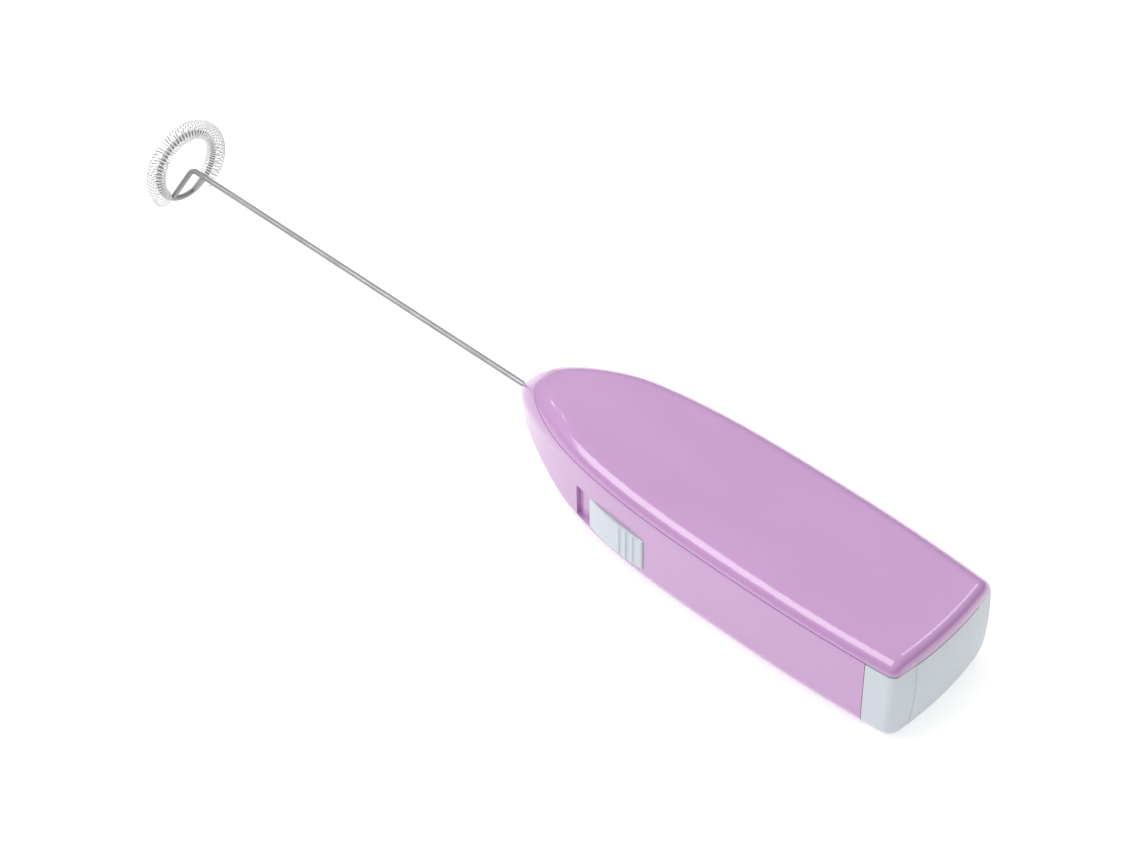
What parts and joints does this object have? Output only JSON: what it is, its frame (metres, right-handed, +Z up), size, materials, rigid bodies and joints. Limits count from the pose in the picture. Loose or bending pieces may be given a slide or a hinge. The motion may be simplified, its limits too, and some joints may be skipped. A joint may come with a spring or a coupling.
{
  "type": "milk frother",
  "caption": "Battery milk frother with a boat-shaped lilac handle, side slide switch, slip-off white battery cover and a wire whisk ring.",
  "frame": {"origin": "middle of the overall length and width, on the flat underside that the handle rests on", "axes": "+X from the whisk ring towards the battery cover, +Z up through the lid, +Y away from the side with the switch"},
  "size_m": [0.226, 0.0353, 0.025],
  "materials": {
    "lilac_shell": "glossy lilac moulded plastic",
    "white_plastic": "satin white moulded plastic",
    "bearing_bronze": "sintered bronze",
    "contact_brass": "stamped brass strip",
    "motor_steel": "zinc plated steel",
    "motor_nylon": "natural nylon",
    "ferrite": "sintered ferrite",
    "carbon": "pressed carbon",
    "nickel_contact": "nickel plated spring steel",
    "red_lead": "PVC insulation",
    "blue_lead": "PVC insulation",
    "black_lead": "PVC insulation",
    "whisk_steel": "bright drawn stainless wire",
    "coil_steel": "bright stainless spring wire",
    "coupling_plastic": "black nylon sleeve",
    "shaft_steel": "ground steel",
    "laminations": "stacked steel laminations",
    "copper_wire": "enamelled copper wire",
    "copper_bars": "copper segments",
    "washer_fibre": "fibre washer",
    "cell_jacket": "plain printed-free jacket with bare ends"
  },
  "bodies": {
    "handle": {"bottom_shell": "lilac_shell", "top_shell": "lilac_shell", "nose_bush": "bearing_bronze", "switch_feed_strip": "contact_brass", "switch_motor_strip": "contact_brass", "motor_can": "motor_steel", "motor_end_cap": "motor_nylon", "motor_front_bush": "bearing_bronze", "motor_rear_bush": "bearing_bronze", "motor_magnets": "ferrite", "motor_terminals": "contact_brass", "motor_brushes": "carbon", "spring_contact": "nickel_contact", "button_contact": "nickel_contact", "lead_feed": "red_lead", "lead_switch": "blue_lead", "lead_return": "black_lead"},
    "whisk": {"whisk_wire": "whisk_steel", "whisk_coil": "coil_steel", "shaft_coupling": "coupling_plastic", "motor_shaft": "shaft_steel", "armature_core": "laminations", "armature_windings": "copper_wire", "commutator": "copper_bars", "thrust_washers": "washer_fibre"},
    "switch": {"switch_button": "white_plastic", "switch_bridge": "contact_brass"},
    "cover": {"battery_cover": "white_plastic", "cover_contact": "nickel_contact"},
    "cells": {"battery_near": "cell_jacket", "battery_far": "cell_jacket"}
  },
  "joints": [
    {"name": "whisk_spin", "type": "hinge", "parent": "handle", "child": "whisk", "pos_m": [0, 0, 0.0133], "axis": [1, 0, 0], "continuous": true},
    {"name": "switch_slide", "type": "slide", "parent": "handle", "child": "switch", "axis": [-0.993, 0.1179, 0], "range_m": [0, 0.004]},
    {"name": "cover_slide", "type": "slide", "parent": "handle", "child": "cover", "axis": [1, 0, 0], "range_m": [0, 0.07]},
    {"name": "cells_slide", "type": "slide", "parent": "handle", "child": "cells", "axis": [1, 0, 0], "range_m": [0, 0.06]}
  ],
  "couplings": [
    {"joint": "cells_slide", "follows": "cover_slide", "ratio": 0.85}
  ]
}
